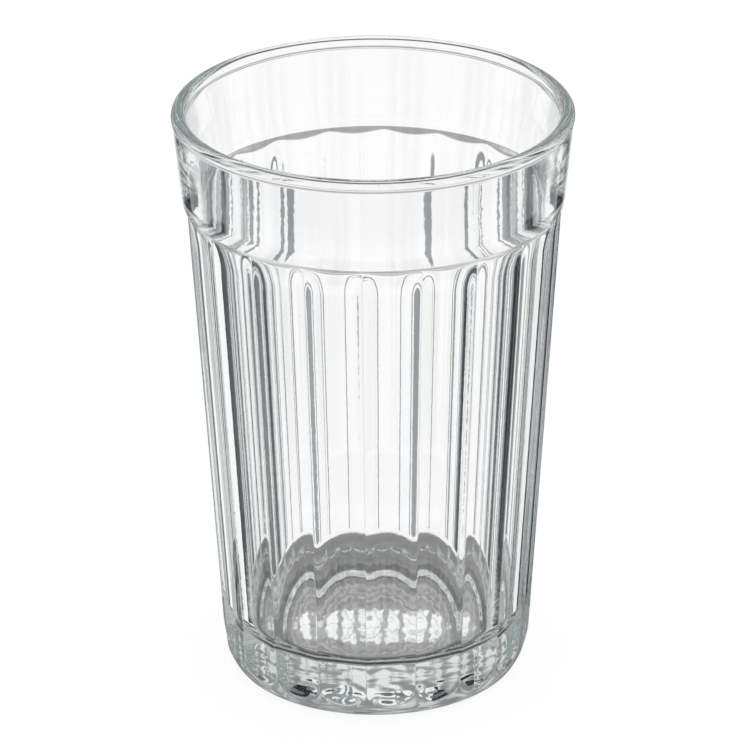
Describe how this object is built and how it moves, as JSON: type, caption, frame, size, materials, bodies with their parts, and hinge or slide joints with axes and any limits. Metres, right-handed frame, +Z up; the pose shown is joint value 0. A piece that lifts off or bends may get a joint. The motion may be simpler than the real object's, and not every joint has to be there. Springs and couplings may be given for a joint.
{
  "type": "chai glass",
  "caption": "Pressed clear tumbler for tea, with a plain rim band over concave flutes and a thick base.",
  "frame": {"origin": "centre of the foot, on the plane the glass stands on", "axes": "+Z up along the axis of the glass, with a ridge between two flutes on -Y, the front"},
  "size_m": [0.066, 0.066, 0.1],
  "materials": {
    "glass": "fire polished, clear soda-lime glass with a faint grey-green cast at the lip and base"
  },
  "bodies": {
    "root": {"tumbler": "glass"}
  },
  "joints": []
}
